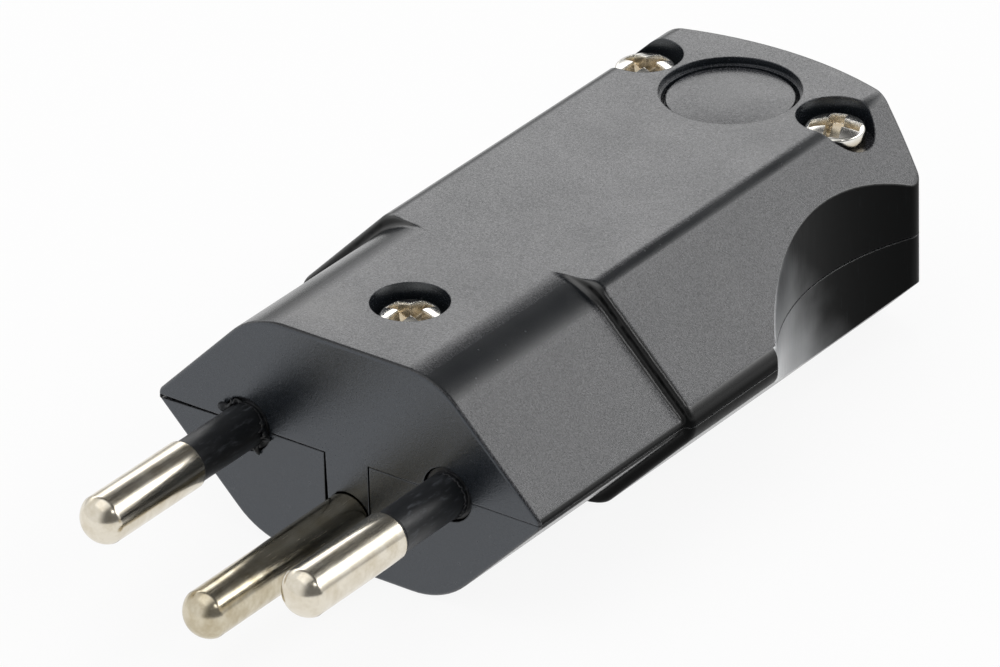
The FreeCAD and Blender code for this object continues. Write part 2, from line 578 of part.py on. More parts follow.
def make_terminal_screw(side, height, x, y, z):
    """Headless screw that clamps a wire, from just above the wire's axis to just below the top."""
    body = new_body(f"{side}_terminal_screw")
    plan = new_sketch(body, "screw_plan", "XY_Plane", lift="Sizes.fit_clearance")
    circle(plan, "Sizes.terminal_screw_diameter")
    extrude("Pad", plan, "screw", f"{height} - Sizes.terminal_screw_sunk - Sizes.fit_clearance")
    settle(body, x, y, z)


def make_headed_screw(label, length, x, y, z):
    """Screw with a raised round head, drawn from the underside of the head."""
    body = new_body(label)
    section = new_sketch(body, "screw_section", "XZ_Plane")
    head = "Sizes.head_diameter / 2"
    shank = "Sizes.screw_diameter / 2"
    rise = "(Sizes.head_height - Sizes.head_edge_height)"
    dome = f"((Sizes.head_diameter ^ 2 / 4 + {rise} ^ 2) / (2 * {rise}))"
    outline(
        section,
        [("0", "Sizes.head_height"), (head, "Sizes.head_edge_height"), (head, "0"), (shank, "0"),
         (shank, f"-({length})"), ("0", f"-({length})")],
        {0: f"-{dome}"},
    )
    turn("Revolution", section, "screw")
    settle(body, x, y, z)


def make_insert(side, x, y, z):
    """Threaded insert that a housing screw holds in, pressed into the lower shell."""
    body = new_body(f"{side}_insert")
    plan = new_sketch(body, "insert_plan", "XY_Plane")
    circle(plan, "Sizes.insert_diameter")
    circle(plan, "Sizes.screw_diameter + Sizes.fit_clearance")
    extrude("Pad", plan, "insert", "Sizes.insert_length", reverse=True)
    settle(body, x, y, z)


def make_cable_clamp():
    """Bent strip that two screws draw down over the cable, drawn from its seats."""
    body = new_body("cable_clamp")
    section = new_sketch(body, "strip_section", "XZ_Plane")
    tip = "(Sizes.clamp_screw_pitch / 2 + Sizes.clamp_foot)"
    inner = "sqrt(Sizes.clamp_radius ^ 2 - Sizes.clamp_drop ^ 2)"
    outer_radius = "(Sizes.clamp_radius + Sizes.clamp_thickness)"
    outer = f"sqrt({outer_radius} ^ 2 - (Sizes.clamp_drop + Sizes.clamp_thickness) ^ 2)"
    top = "Sizes.clamp_thickness"
    outline(
        section,
        [(tip, "0"), (tip, top), (outer, top), (f"-{outer}", top), (f"-{tip}", top), (f"-{tip}", "0"),
         (f"-{inner}", "0"), (inner, "0")],
        {2: outer_radius, 6: "-Sizes.clamp_radius"},
    )
    extrude("Pad", section, "strip", "Sizes.clamp_width", symmetric=True)
    holes = new_sketch(body, "screw_hole_plan", "XY_Plane")
    for x in CLAMP_SCREWS.values():
        circle(holes, "Sizes.screw_diameter + 2 * Sizes.fit_clearance", x)
    extrude("Pocket", holes, "screw_holes", reverse=True)
    settle(body, y="Sizes.clamp_place", z="-Sizes.clamp_seat_depth")


def make_blanking_cap():
    """Slightly domed disc with a stem, pressed into its round seat in the top."""
    body = new_body("blanking_cap")
    section = new_sketch(body, "cap_section", "XZ_Plane")
    disc = "Sizes.cap_diameter / 2"
    stem = "Sizes.cap_stem_diameter / 2"
    dome = "((Sizes.cap_diameter ^ 2 / 4 + Sizes.cap_crown ^ 2) / (2 * Sizes.cap_crown))"
    stem_end = "-(Sizes.cap_thickness + Sizes.cap_stem_length)"
    outline(
        section,
        [("0", "Sizes.cap_crown"), (disc, "0"), (disc, "-Sizes.cap_thickness"),
         (stem, "-Sizes.cap_thickness"), (stem, stem_end), ("0", stem_end)],
        {0: f"-{dome}"},
    )
    turn("Revolution", section, "cap")
    settle(body, y="Sizes.cap_place", z=CAP_TOP)


make_upper_shell()
make_lower_shell()
for side, x in OUTER_PINS.items():
    make_outer_pin(side, x)
    make_sleeve(side, x)
    make_terminal_screw(side, "Sizes.terminal_diameter / 2", x, OUTER_TERMINAL_SCREW, "0")
make_earth_pin()
make_terminal_screw("earth", EARTH_TERMINAL_HALF, "0", EARTH_TERMINAL_SCREW, "-Sizes.earth_drop")
for name, (x, y) in HOUSING_SCREWS.items():
    insert_top = f"-{PLATE_SEAT}" if name == "front" else "0"
    past_insert = "0" if name == "front" else "Sizes.tip_room"
    length = f"{HEAD_SEAT} - {insert_top} + Sizes.insert_length + {past_insert} - Sizes.fit_clearance"
    make_headed_screw(f"{name}_housing_screw", length, x, y, HEAD_SEAT)
    make_insert(name, x, y, insert_top)
make_cable_clamp()
for side, x in CLAMP_SCREWS.items():
    make_headed_screw(f"{side}_clamp_screw", "Sizes.clamp_screw_length", x, "Sizes.clamp_place",
                      "Sizes.clamp_thickness - Sizes.clamp_seat_depth")
make_blanking_cap()
doc.recompute()

# Every feature is sound and every sub-part is one valid solid.
for item in doc.Objects:
    if "Invalid" in item.State or "Error" in item.State:
        raise RuntimeError(f"{item.Name} failed: {item.getStatusString()}")
for body in nodes:
    if body.Shape.isNull() or not body.Shape.isValid() or len(body.Shape.Solids) != 1:
        raise RuntimeError(f"{body.Label} isn't one valid solid")

os.makedirs("parts", exist_ok=True)
for body in nodes:
    body.Shape.exportStep(f"parts/{body.Label}.step")
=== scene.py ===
"""Looks of a rewirable type J plug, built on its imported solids.

The pins point towards -Y, the cable end towards +Y, and the flat underside lies on Z = 0.
Meshes are in metres.
"""
import math

import bmesh
import bpy
from mathutils import Matrix
from mathutils import Vector
import numpy as np


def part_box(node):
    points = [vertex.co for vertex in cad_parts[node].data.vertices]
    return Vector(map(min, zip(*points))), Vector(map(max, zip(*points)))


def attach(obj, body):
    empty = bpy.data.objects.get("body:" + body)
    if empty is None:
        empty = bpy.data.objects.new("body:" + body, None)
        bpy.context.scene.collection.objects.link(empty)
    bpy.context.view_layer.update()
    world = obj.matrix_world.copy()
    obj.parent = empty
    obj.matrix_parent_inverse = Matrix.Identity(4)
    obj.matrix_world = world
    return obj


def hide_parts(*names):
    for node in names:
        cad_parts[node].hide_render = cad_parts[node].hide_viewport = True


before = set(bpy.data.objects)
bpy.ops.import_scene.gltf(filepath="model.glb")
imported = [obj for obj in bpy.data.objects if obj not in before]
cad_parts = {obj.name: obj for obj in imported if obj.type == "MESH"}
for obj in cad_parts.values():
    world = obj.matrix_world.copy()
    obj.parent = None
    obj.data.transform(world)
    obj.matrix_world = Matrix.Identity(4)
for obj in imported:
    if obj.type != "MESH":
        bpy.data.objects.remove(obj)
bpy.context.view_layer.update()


# Housing: two half shells that meet on a flat parting plane, injection moulded in black polyamide.
# The mould is spark eroded, which leaves a fine grain on the flats and slopes; the face, the holes and the
# upright walls come out smoother. The halves don't close quite evenly, and gape at the left corner.
MM = 0.001
FACE_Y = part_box("upper_shell")[0].y
PARTING_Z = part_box("lower_shell")[1].z
SMOOTH_ANGLE = math.radians(32)
SAME_POINT = 0.0005 * MM
JOINT_BAND = 0.02 * MM
JOINT_GAPS = np.array((0.05, 0.13)) * MM
GAP_PLACES = np.array((-18.2, -11.8, -2.2, 2.2, 18.2)) * MM
GAP_SIZES = np.array((0.28, 0.10, 0.06, 0.02, 0.0)) * MM
GAP_DEPTH = 1.0 * MM
TONGUE_GAP = 0.14 * MM
TONGUE_HALF = 2.1 * MM
FRONT_WALL = 2.3 * MM

# Patterns of the grained finish. The grain and its flecks are drawn about two pixels wide, coarser than
# such a mould leaves them, so that they show.
GRAIN_SIZE = 0.18 * MM
GRAIN_HEIGHT = 0.024 * MM
FLECK_SIZE = 0.14 * MM
PATCH_SIZE = 6.0 * MM
SPECK_SIZE = 1.1 * MM
SCUFF_PLACE = (-5.0 * MM, -15.8 * MM, 19.4 * MM)
SCUFF_REACH = 4.5 * MM
RUB_SIZE = 0.7 * MM
MEAN_ROUGH = 0.205
PIT_ROUGH = 0.13
SCUFF_POLISH = -0.10
EDGE_ROUND = 0.14 * MM
# Grey of the grain's pale flecks: partly the pits' own colour, partly a painted glint.
GRAIN_GLINT_GREY = "#4a4a4d"
SCUFF_GREY = "#2a2826"
SPECK_GREY = "#4a4c4e"

# How steep a surface is, as the upward part of its normal: where the grain's depth fades to the share that
# the top keeps, where the slopes end, and where the flat top starts.
DEPTH_FADES = (0.68, 0.80)
TOP_DEPTH = 0.3
SLOPE_ENDS = (0.69, 0.80)
TOP_STARTS = (0.96, 0.995)


def linear(code):
    """Linear colour of an sRGB hex code: each channel through the sRGB curve, with full alpha."""
    channels = np.array([int(code[place:place + 2], 16) for place in (1, 3, 5)]) / 255
    curve = np.where(channels <= 0.04045, channels / 12.92, ((channels + 0.055) / 1.055) ** 2.4)
    return (*curve.tolist(), 1.0)


def add(tree, kind, inputs=None, **settings):
    """Adds one node; each input takes a plain value or a link from another node's socket."""
    node = tree.nodes.new(kind)
    for name, value in settings.items():
        setattr(node, name, value)
    for name, value in (inputs or {}).items():
        if isinstance(value, bpy.types.NodeSocket):
            tree.links.new(value, node.inputs[name])
        else:
            node.inputs[name].default_value = value
    return node


def start_material(name):
    """An empty node material and its tree."""
    material = bpy.data.materials.new(name)
    material.use_nodes = True
    material.node_tree.nodes.clear()
    return material, material.node_tree


def show_piece(name, mesh, material, slot_name, *nodes):
    """Puts a finished mesh into the scene as a piece of the plug that stands for the named solids."""
    mesh.materials.append(material)
    piece = bpy.data.objects.new(name, mesh)
    bpy.context.scene.collection.objects.link(piece)
    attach(piece, "root")
    if nodes:
        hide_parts(*nodes)
    return piece


def finished_copy(node, material, slot_name, reshape=None):
    """A copy of a solid's mesh, joined at equal points and shaded smooth between its sharp edges.

    reshape moves the points, given as an array with one row for each point.
    """
    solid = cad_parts[node].data
    points = np.empty(3 * len(solid.vertices), np.float32)
    solid.vertices.foreach_get("co", points)
    corners = np.empty(len(solid.loops), np.int32)
    solid.loops.foreach_get("vertex_index", corners)
    points = points.reshape(-1, 3)
    keys = np.round(points / SAME_POINT).astype(np.int64)
    first, joined = np.unique(keys, axis=0, return_index=True, return_inverse=True)[1:]
    points = points[first]
    triangles = joined.ravel()[corners].reshape(-1, 3)
    whole = (triangles != np.roll(triangles, 1, axis=1)).all(axis=1)
    if reshape is not None:
        points = reshape(points)
    mesh = bpy.data.meshes.new(f"{node}_finished")
    mesh.from_pydata(points.tolist(), [], triangles[whole].tolist())
    mesh.polygons.foreach_set("use_smooth", np.ones(len(mesh.polygons), bool))
    mesh.set_sharp_from_angle(angle=SMOOTH_ANGLE)
    piece = show_piece(f"{node}_finished", mesh, material, slot_name, node)
    weighted = piece.modifiers.new("even_normals", "WEIGHTED_NORMAL")
    weighted.keep_sharp = True
    return piece


def open_joint(points):
    """Lower shell: its rim drops by a hairline that widens towards the cable end.

    At the face it drops further, by a gap read off a line across the width.
    """
    moved = points.copy()
    at_joint = points[:, 2] > PARTING_Z - JOINT_BAND
    at_face = at_joint & (points[:, 1] < FACE_Y + GAP_DEPTH)
    moved[at_joint, 2] -= np.interp(points[at_joint, 1], (FACE_Y, -FACE_Y), JOINT_GAPS)
    moved[at_face, 2] -= np.interp(points[at_face, 0], GAP_PLACES, GAP_SIZES)
    return moved


def trim_tongue(points):
    """Upper shell: the earth tongue's left side, below the joint in the front wall, draws in."""
    moved = points.copy()
    low = points[:, 2] < PARTING_Z - JOINT_BAND
    in_wall = (points[:, 1] < FACE_Y + FRONT_WALL) & (np.abs(points[:, 0]) < TONGUE_HALF)
    moved[low & in_wall & (points[:, 0] < -0.5 * TONGUE_HALF), 0] += TONGUE_GAP
    return moved


def moulded_polyamide(name, dark, light, tint, grain_share, fleck_share, ior):
    """Black polyamide between two tones, under a satin gloss broken up by a grain of fine dull pits.

    The pits are pale flecks on the slopes and the flat top, partly their own paler colour and partly a
    painted glint, and left off the rounded edges between them, which reflect the dark above. The gloss also
    changes slowly from place to place, and there are a few pale specks and a rubbed patch before the front
    screw.
    tint colours the gloss and ior sets its strength. grain_share and fleck_share are the strengths of the
    grain and of its flecks, where 1 is that of the slopes.
    """
    material, tree = start_material(name)
    coords = add(tree, "ShaderNodeTexCoord").outputs["Object"]
    normal = add(tree, "ShaderNodeNewGeometry").outputs["True Normal"]
    upward = add(tree, "ShaderNodeSeparateXYZ", {0: normal}).outputs["Z"]
    depth = add(tree, "ShaderNodeMapRange", {
        "Value": upward, "From Min": DEPTH_FADES[0], "From Max": DEPTH_FADES[1],
        "To Min": grain_share, "To Max": TOP_DEPTH * grain_share}).outputs["Result"]
    grain = add(tree, "ShaderNodeTexNoise", {
        "Vector": coords, "Scale": 1 / GRAIN_SIZE, "Detail": 3.0, "Roughness": 0.85}).outputs["Fac"]
    patches = add(tree, "ShaderNodeTexNoise", {
        "Vector": coords, "Scale": 1 / PATCH_SIZE, "Detail": 4.0, "Roughness": 0.6}).outputs["Fac"]
    specks = add(tree, "ShaderNodeTexVoronoi", {
        "Vector": coords, "Scale": 1 / SPECK_SIZE}).outputs["Distance"]
    flecks = add(tree, "ShaderNodeTexNoise", {
        "Vector": coords, "Scale": 1 / FLECK_SIZE, "Detail": 2.0, "Roughness": 0.6}).outputs["Fac"]
    # Painted glint: pale flecks on the grain, partly its own paler pits, kept to the slopes and the flat
    # top, which reflect the bright backdrop, and left off the rounded edges between them.
    fleck = add(tree, "ShaderNodeMapRange", {
        "Value": flecks, "From Min": 0.40, "From Max": 0.64, "To Max": fleck_share}).outputs["Result"]
    on_slope = add(tree, "ShaderNodeMapRange", {
        "Value": upward, "From Min": SLOPE_ENDS[0], "From Max": SLOPE_ENDS[1],
        "To Min": 1.0, "To Max": 0.0}).outputs["Result"]
    on_top = add(tree, "ShaderNodeMapRange", {
        "Value": upward, "From Min": TOP_STARTS[0], "From Max": TOP_STARTS[1]}).outputs["Result"]
    flat = add(tree, "ShaderNodeMath", {0: on_slope, 1: on_top}, operation="MAXIMUM").outputs[0]
    fleck = add(tree, "ShaderNodeMath", {0: fleck, 1: flat}, operation="MULTIPLY").outputs[0]
    speck = add(tree, "ShaderNodeMapRange", {
        "Value": specks, "From Min": 0.03, "From Max": 0.09,
        "To Min": 1.0, "To Max": 0.0}).outputs["Result"]
    away = add(tree, "ShaderNodeVectorMath", {
        0: coords, 1: SCUFF_PLACE}, operation="DISTANCE").outputs["Value"]
    near = add(tree, "ShaderNodeMapRange", {
        "Value": away, "From Min": 0.2 * SCUFF_REACH, "From Max": SCUFF_REACH,
        "To Min": 1.0, "To Max": 0.0}).outputs["Result"]
    rubs = add(tree, "ShaderNodeTexNoise", {
        "Vector": coords, "Scale": 1 / RUB_SIZE, "Detail": 5.0, "Roughness": 0.7}).outputs["Fac"]
    rubbed = add(tree, "ShaderNodeMath", {0: near, 1: rubs}, operation="MULTIPLY").outputs[0]
    body = add(tree, "ShaderNodeMix", {
        0: patches, 6: linear(dark), 7: linear(light)}, data_type="RGBA").outputs[2]
    flecked = add(tree, "ShaderNodeMix", {
        0: fleck, 6: body, 7: linear(GRAIN_GLINT_GREY)}, data_type="RGBA").outputs[2]
    worn = add(tree, "ShaderNodeMix", {
        0: rubbed, 6: flecked, 7: linear(SCUFF_GREY)}, data_type="RGBA").outputs[2]
    colour = add(tree, "ShaderNodeMix", {
        0: speck, 6: worn, 7: linear(SPECK_GREY)}, data_type="RGBA").outputs[2]
    pits = add(tree, "ShaderNodeMapRange", {
        "Value": grain, "From Min": 0.28, "From Max": 0.72,
        "To Min": PIT_ROUGH * grain_share, "To Max": -PIT_ROUGH * grain_share}).outputs["Result"]
    pitted = add(tree, "ShaderNodeMath", {
        0: pits, 1: flat, 2: MEAN_ROUGH}, operation="MULTIPLY_ADD").outputs[0]
    gloss = add(tree, "ShaderNodeMapRange", {
        "Value": patches, "From Min": 0.3, "From Max": 0.7,
        "To Min": -0.03, "To Max": 0.04}).outputs["Result"]
    gloss = add(tree, "ShaderNodeMath", {0: gloss, 1: pitted}).outputs[0]
    roughness = add(tree, "ShaderNodeMath", {
        0: rubbed, 1: SCUFF_POLISH, 2: gloss}, operation="MULTIPLY_ADD").outputs[0]
    rounded = add(tree, "ShaderNodeBevel", {"Radius": EDGE_ROUND}, samples=4).outputs["Normal"]
    bumped = add(tree, "ShaderNodeBump", {
        "Strength": depth, "Distance": GRAIN_HEIGHT, "Height": grain, "Normal": rounded}).outputs["Normal"]
    shader = add(tree, "ShaderNodeBsdfPrincipled", {
        "Base Color": colour, "Roughness": roughness, "IOR": ior, "Specular Tint": linear(tint),
        "Normal": bumped})
    add(tree, "ShaderNodeOutputMaterial", {"Surface": shader.outputs["BSDF"]})
    return material


# Black polyamide from a spark-eroded mould, dark and satin with a visible grain, and from the finer parts
# of the mould that form the engagement face and the holes. The fine finish is glossier, and shows the pins.
polyamide = moulded_polyamide(
    "black_polyamide_spark_eroded", "#0c0f13", "#14181c", "#ffffff", 1.0, 1.0, 1.5)
face_polyamide = moulded_polyamide(
    "black_polyamide_fine_face", "#101519", "#181d23", "#f0f6ff", 0.8, 0.15, 1.78)

# Black polyamide drawn smooth on the upright walls and the shoulder: deep black with a weak gloss, upright
# scratches, a soft light where a wall turns upwards, and a shine on the front ends of the finger scallops:
# a strong coat there, and a painted reflection, pale grey painted into the colour that fades towards the
# rear and upwards. The scratches are drawn wider than real ones, so that they show.
SCRATCH_SIZE = 0.22 * MM
SCRATCH_SQUEEZE = 0.06
SCALLOP_FRONT = 10.3 * MM
# Reach of the painted reflection on the front ends of the scallops, and the cloud that makes its edge
# ragged.
SHEEN_LENGTH = 20.0 * MM
SHEEN_HEIGHT = 26.0 * MM
SHEEN_CLOUD = 5.0 * MM
SHEEN_RAGGED = 0.3
SHINE_FADES = (0.35, 1.05)
EDGE_TURNS = (0.94, 0.99)
WALL_SLOPE = 0.62
CREST_SLOPE = 0.15
CREST_SHINE = 0.3
wall_polyamide, tree = start_material("black_polyamide_smooth_wall")
coords = add(tree, "ShaderNodeTexCoord").outputs["Object"]
place = add(tree, "ShaderNodeSeparateXYZ", {0: coords}).outputs
upright = add(tree, "ShaderNodeMapping", {
    "Vector": coords, "Scale": (1.0, 1.0, SCRATCH_SQUEEZE)}).outputs[0]
scratches = add(tree, "ShaderNodeTexNoise", {
    "Vector": upright, "Scale": 1 / SCRATCH_SIZE, "Detail": 3.0, "Roughness": 0.7}).outputs["Fac"]
scratched = add(tree, "ShaderNodeMapRange", {
    "Value": scratches, "From Min": 0.62, "From Max": 0.80}).outputs["Result"]
colour = add(tree, "ShaderNodeMix", {
    0: scratched, 6: linear("#070808"), 7: linear("#1e2022")}, data_type="RGBA").outputs[2]
roughness = add(tree, "ShaderNodeMapRange", {
    "Value": scratches, "From Min": 0.3, "From Max": 0.7,
    "To Min": 0.30, "To Max": 0.42}).outputs["Result"]
along = add(tree, "ShaderNodeMapRange", {
    "Value": place["Y"], "From Min": SCALLOP_FRONT, "From Max": SCALLOP_FRONT + SHEEN_LENGTH},
    clamp=False).outputs["Result"]
upwards = add(tree, "ShaderNodeMapRange", {
    "Value": place["Z"], "From Max": SHEEN_HEIGHT}, clamp=False).outputs["Result"]
cloud = add(tree, "ShaderNodeTexNoise", {
    "Vector": coords, "Scale": 1 / SHEEN_CLOUD, "Detail": 3.0}).outputs["Fac"]
clouded = add(tree, "ShaderNodeMath", {
    0: cloud, 1: SHEEN_RAGGED, 2: -0.5 * SHEEN_RAGGED}, operation="MULTIPLY_ADD").outputs[0]
faded = add(tree, "ShaderNodeMath", {0: along, 1: upwards}).outputs[0]
faded = add(tree, "ShaderNodeMath", {0: faded, 1: clouded}).outputs[0]
shine = add(tree, "ShaderNodeMapRange", {
    "Value": faded, "From Min": SHINE_FADES[0], "From Max": SHINE_FADES[1],
    "To Min": 1.0, "To Max": 0.0}, interpolation_type="SMOOTHSTEP").outputs["Result"]
on_scallop = add(tree, "ShaderNodeMath", {
    0: place["Y"], 1: SCALLOP_FRONT}, operation="GREATER_THAN").outputs[0]
shine = add(tree, "ShaderNodeMath", {0: shine, 1: on_scallop}, operation="MULTIPLY").outputs[0]
# Painted reflection: the front ends of the finger scallops are painted pale grey, fading towards the rear
# and upwards.
colour = add(tree, "ShaderNodeMix", {
    0: shine, 6: colour, 7: linear("#7a7d80")}, data_type="RGBA").outputs[2]
rounded = add(tree, "ShaderNodeBevel", {"Radius": EDGE_ROUND}, samples=4).outputs["Normal"]
normal = add(tree, "ShaderNodeNewGeometry").outputs["Normal"]
straight = add(tree, "ShaderNodeVectorMath", {
    0: rounded, 1: normal}, operation="DOT_PRODUCT").outputs["Value"]
off_edge = add(tree, "ShaderNodeMapRange", {
    "Value": straight, "From Min": EDGE_TURNS[0], "From Max": EDGE_TURNS[1]}).outputs["Result"]
shine = add(tree, "ShaderNodeMath", {0: shine, 1: off_edge}, operation="MULTIPLY").outputs[0]
upward = add(tree, "ShaderNodeSeparateXYZ", {0: rounded}).outputs["Z"]
turned = add(tree, "ShaderNodeMapRange", {
    "Value": upward, "From Min": CREST_SLOPE, "From Max": WALL_SLOPE,
    "To Max": CREST_SHINE}).outputs["Result"]
shine = add(tree, "ShaderNodeMath", {0: shine, 1: turned}, operation="MAXIMUM").outputs[0]
shader = add(tree, "ShaderNodeBsdfPrincipled", {
    "Base Color": colour, "Roughness": roughness, "IOR": 1.13, "Normal": rounded,
    "Coat Weight": shine, "Coat Roughness": 0.22, "Coat IOR": 3.0, "Coat Normal": rounded})
add(tree, "ShaderNodeOutputMaterial", {"Surface": shader.outputs["BSDF"]})

# Which faces get which finish: the slopes and reaches that tell walls, shoulder, face, rear end and holes.
GRAINED, SMOOTH, FINE = range(3)
SHOULDER_SLOPE = 0.25
FACE_RIM = 0.5 * MM
FACE_SLOPE = 0.80
END_SLOPE = 0.35
END_FRONT = (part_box("left_housing_screw")[0].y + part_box("left_housing_screw")[1].y) / 2
ROUND_PIECES = ("front_housing_screw", "left_housing_screw", "right_housing_screw", "blanking_cap")
HOLE_REACH = 6.2 * MM


def finish_faces(piece):
    """Gives the smooth finish to the side walls and the shoulder, and the fine one to the face and holes.

    A wall is a face that stands steeply, and a hole's wall one that turns to the axis of a round piece.
    """
    mesh = piece.data
    normals = np.empty(3 * len(mesh.polygons), np.float32)
    mesh.polygons.foreach_get("normal", normals)
    middles = np.empty(3 * len(mesh.polygons), np.float32)
    mesh.polygons.foreach_get("center", middles)
    normals = normals.reshape(-1, 3)
    middles = middles.reshape(-1, 3)
    holes = [(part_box(node)[0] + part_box(node)[1]) / 2 for node in ROUND_PIECES]
    in_hole = np.zeros(len(middles), bool)
    for hole in holes:
        inwards = np.array((hole.x, hole.y)) - middles[:, :2]
        faces_axis = (normals[:, :2] * inwards).sum(axis=1) > 0
        in_hole |= faces_axis & (np.hypot(*inwards.T) < HOLE_REACH)
    at_front = middles[:, 1] < FACE_Y + FACE_RIM
    at_back = (normals[:, 1] > END_SLOPE) & (middles[:, 1] > END_FRONT)
    wall = (np.abs(normals[:, 2]) < WALL_SLOPE) & ~at_back
    shoulder = (normals[:, 1] < -SHOULDER_SLOPE) & (middles[:, 1] < SCALLOP_FRONT)
    finish = np.where((wall | shoulder) & ~in_hole & ~at_front, SMOOTH, GRAINED)
    finish[(normals[:, 1] < -FACE_SLOPE) & at_front] = FINE
    finish[wall & in_hole] = FINE
    mesh.materials.append(wall_polyamide)
    mesh.materials.append(face_polyamide)
    mesh.polygons.foreach_set("material_index", finish.astype(np.int32))


finish_faces(finished_copy("upper_shell", polyamide, "housing", trim_tongue))
finish_faces(finished_copy("lower_shell", polyamide, "housing", open_joint))


# Blanking cap: a slightly domed disc pressed into its round seat in the top, in the same black polyamide.
# Its stem holds it in the seat, and the dome has sunk a little in cooling.
CAP_CROWN = 0.35 * MM
CROWN_LEFT = 0.45
CAP_RIM_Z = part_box("blanking_cap")[1].z - CAP_CROWN


def sunk_crown(points):
    """Cap: what rises above the disc's rim keeps a share of its rise."""
    moved = points.copy()
    moved[:, 2] -= (1 - CROWN_LEFT) * np.maximum(points[:, 2] - CAP_RIM_Z, 0.0)
    return moved


finished_copy("blanking_cap", polyamide, "cap", sunk_crown)


# Pins: brass, turned to a domed tip and nickel plated, held between the shells by their thick inner ends.
# Use leaves fine scratches along them, drawn wider than real ones so that they show.
STREAK_WIDTH = 0.12 * MM
STREAK_LENGTH = 2.4 * MM
STREAK_DEPTH = 0.01 * MM
CLOUD_SIZE = 1.6 * MM
PIN_ROUND = 0.12 * MM


def plated_pin(name, clean, dull, smooth, rough):
    """Nickel plate on a turned pin: a mirror between two tones and two roughnesses, scratched along it."""
    material, tree = start_material(name)
    coords = add(tree, "ShaderNodeTexCoord").outputs["Object"]
    along = add(tree, "ShaderNodeMapping", {
        "Vector": coords, "Scale": (1.0, STREAK_WIDTH / STREAK_LENGTH, 1.0)}).outputs[0]
    streaks = add(tree, "ShaderNodeTexNoise", {
        "Vector": along, "Scale": 1 / STREAK_WIDTH, "Detail": 3.0, "Roughness": 0.6}).outputs["Fac"]
    clouds = add(tree, "ShaderNodeTexNoise", {
        "Vector": coords, "Scale": 1 / CLOUD_SIZE, "Detail": 5.0, "Roughness": 0.65}).outputs["Fac"]
    stained = add(tree, "ShaderNodeMapRange", {
        "Value": clouds, "From Min": 0.40, "From Max": 0.68}).outputs["Result"]
    colour = add(tree, "ShaderNodeMix", {
        0: stained, 6: linear(clean), 7: linear(dull)}, data_type="RGBA").outputs[2]
    roughness = add(tree, "ShaderNodeMapRange", {
        "Value": streaks, "From Min": 0.35, "From Max": 0.72,
        "To Min": smooth, "To Max": rough}).outputs["Result"]
    rounded = add(tree, "ShaderNodeBevel", {"Radius": PIN_ROUND}, samples=4).outputs["Normal"]
    bumped = add(tree, "ShaderNodeBump", {
        "Strength": 0.12, "Distance": STREAK_DEPTH, "Height": streaks, "Normal": rounded}).outputs["Normal"]
    shader = add(tree, "ShaderNodeBsdfPrincipled", {
        "Base Color": colour, "Metallic": 1.0, "Roughness": roughness, "Normal": bumped})
    add(tree, "ShaderNodeOutputMaterial", {"Surface": shader.outputs["BSDF"]})
    return material


# Nickel plate on brass: a warm, clear mirror on the outer pins, and a browner, duller one on the earth pin.
bright_nickel = plated_pin("nickel_plated_brass_bright", "#e3dccd", "#d2c8b4", 0.13, 0.24)
dulled_nickel = plated_pin("nickel_plated_brass_dulled", "#d2c9b4", "#b9ad92", 0.16, 0.28)
finished_copy("left_pin", bright_nickel, "pin_metal")
finished_copy("right_pin", bright_nickel, "pin_metal")
finished_copy("earth_pin", dulled_nickel, "pin_metal")


# Sleeves: black insulation moulded round the necks of the two outer pins, a little thinner than the pins.
# It is semi-matt, with pale rubs along it from the sockets it has been pushed into.
SLEEVE_RUB = 0.35 * MM
SLEEVE_RUB_DEPTH = 0.02 * MM
SLEEVE_RUB_SQUEEZE = 0.25
sleeve_plastic, tree = start_material("black_polyamide_sleeve")
coords = add(tree, "ShaderNodeTexCoord").outputs["Object"]
along = add(tree, "ShaderNodeMapping", {
    "Vector": coords, "Scale": (1.0, SLEEVE_RUB_SQUEEZE, 1.0)}).outputs[0]
rubs = add(tree, "ShaderNodeTexNoise", {
    "Vector": along, "Scale": 1 / SLEEVE_RUB, "Detail": 6.0, "Roughness": 0.7}).outputs["Fac"]
rubbed = add(tree, "ShaderNodeMapRange", {
    "Value": rubs, "From Min": 0.54, "From Max": 0.72}).outputs["Result"]
colour = add(tree, "ShaderNodeMix", {
    0: rubbed, 6: linear("#141619"), 7: linear("#43464b")}, data_type="RGBA").outputs[2]
roughness = add(tree, "ShaderNodeMapRange", {
    "Value": rubs, "From Min": 0.3, "From Max": 0.7, "To Min": 0.34, "To Max": 0.52}).outputs["Result"]
rounded = add(tree, "ShaderNodeBevel", {"Radius": EDGE_ROUND}, samples=4).outputs["Normal"]
bumped = add(tree, "ShaderNodeBump", {
    "Strength": 0.5, "Distance": SLEEVE_RUB_DEPTH, "Height": rubs, "Normal": rounded}).outputs["Normal"]
shader = add(tree, "ShaderNodeBsdfPrincipled", {
    "Base Color": colour, "Roughness": roughness, "IOR": 1.53, "Normal": bumped})
add(tree, "ShaderNodeOutputMaterial", {"Surface": shader.outputs["BSDF"]})
finished_copy("left_pin_sleeve", sleeve_plastic, "sleeve")
finished_copy("right_pin_sleeve", sleeve_plastic, "sleeve")


